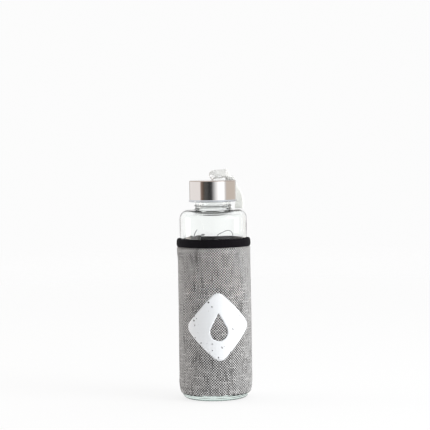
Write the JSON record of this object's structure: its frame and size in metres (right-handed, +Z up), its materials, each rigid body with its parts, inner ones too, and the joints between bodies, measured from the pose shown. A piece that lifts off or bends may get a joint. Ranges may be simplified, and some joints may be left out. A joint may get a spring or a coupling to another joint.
{
  "type": "glass water bottle",
  "caption": "Clear glass water bottle with a steel screw cap, a ribbon carry loop on a wire bridge, and a padded cloth sleeve with a drawn top binding.",
  "frame": {"origin": "on the bottle's axis, on the surface that the glass base stands on", "axes": "+Z up along the bottle's axis; -Y towards the printed front of the sleeve; +X to the right of the print, where the carry loop falls"},
  "size_m": [0.0748, 0.0799, 0.2328],
  "materials": {
    "glass": "clear polished soda glass with a faint green tint",
    "cap_steel": "fine spun brushing round the axis",
    "cap_liner": "moulded satin polypropylene",
    "seal_silicone": "matt white silicone",
    "ribbon": "pale woven ribbon with a soft sheen",
    "sleeve_cloth": "coarse heather weave, matt",
    "sleeve_foam": "matt foam sheet",
    "sleeve_lining": "plain fine knit, matt",
    "elastic": "woven elastic tape",
    "binding": "black knitted binding, matt",
    "cord": "thin dark braided cord",
    "print": "thin white transfer print, slightly worn"
  },
  "bodies": {
    "sleeve": {"sleeve_outer": "sleeve_cloth", "sleeve_foam": "sleeve_foam", "sleeve_lining": "sleeve_lining", "sleeve_hem_elastic": "elastic", "sleeve_top_binding": "binding", "sleeve_join": "sleeve_cloth", "sleeve_back_seam": "sleeve_cloth", "emblem_print": "print", "draw_cord_inner": "cord", "draw_cord_loop": "cord", "draw_cord_knot": "cord"},
    "bottle": {"glass_bottle": "glass"},
    "seal": {"cap_seal": "seal_silicone"},
    "cap": {"cap_shell": "cap_steel", "cap_insert": "cap_liner", "strap_bridge": "cap_steel", "bridge_washer_front": "cap_steel", "bridge_washer_back": "cap_steel"},
    "strap": {"strap_ribbon": "ribbon", "strap_bar_tack": "ribbon"}
  },
  "joints": [
    {"name": "bottle_lift", "type": "slide", "parent": "sleeve", "child": "bottle", "axis": [0, 0, 1], "range_m": [0, 0.17]},
    {"name": "cap_lift", "type": "slide", "parent": "bottle", "child": "seal", "axis": [0, 0, 1], "range_m": [0, 0.0211]},
    {"name": "cap_turn", "type": "hinge", "parent": "seal", "child": "cap", "pos_m": [0, 0, 0.21], "axis": [0, 0, 1], "range_deg": [0, 1800]},
    {"name": "strap_swing", "type": "hinge", "parent": "cap", "child": "strap", "pos_m": [0, 0, 0.2245], "axis": [0, -1, 0], "range_deg": [0, 55]}
  ],
  "couplings": [
    {"joint": "cap_lift", "follows": "cap_turn", "m_per_rad": 0.00066845}
  ]
}
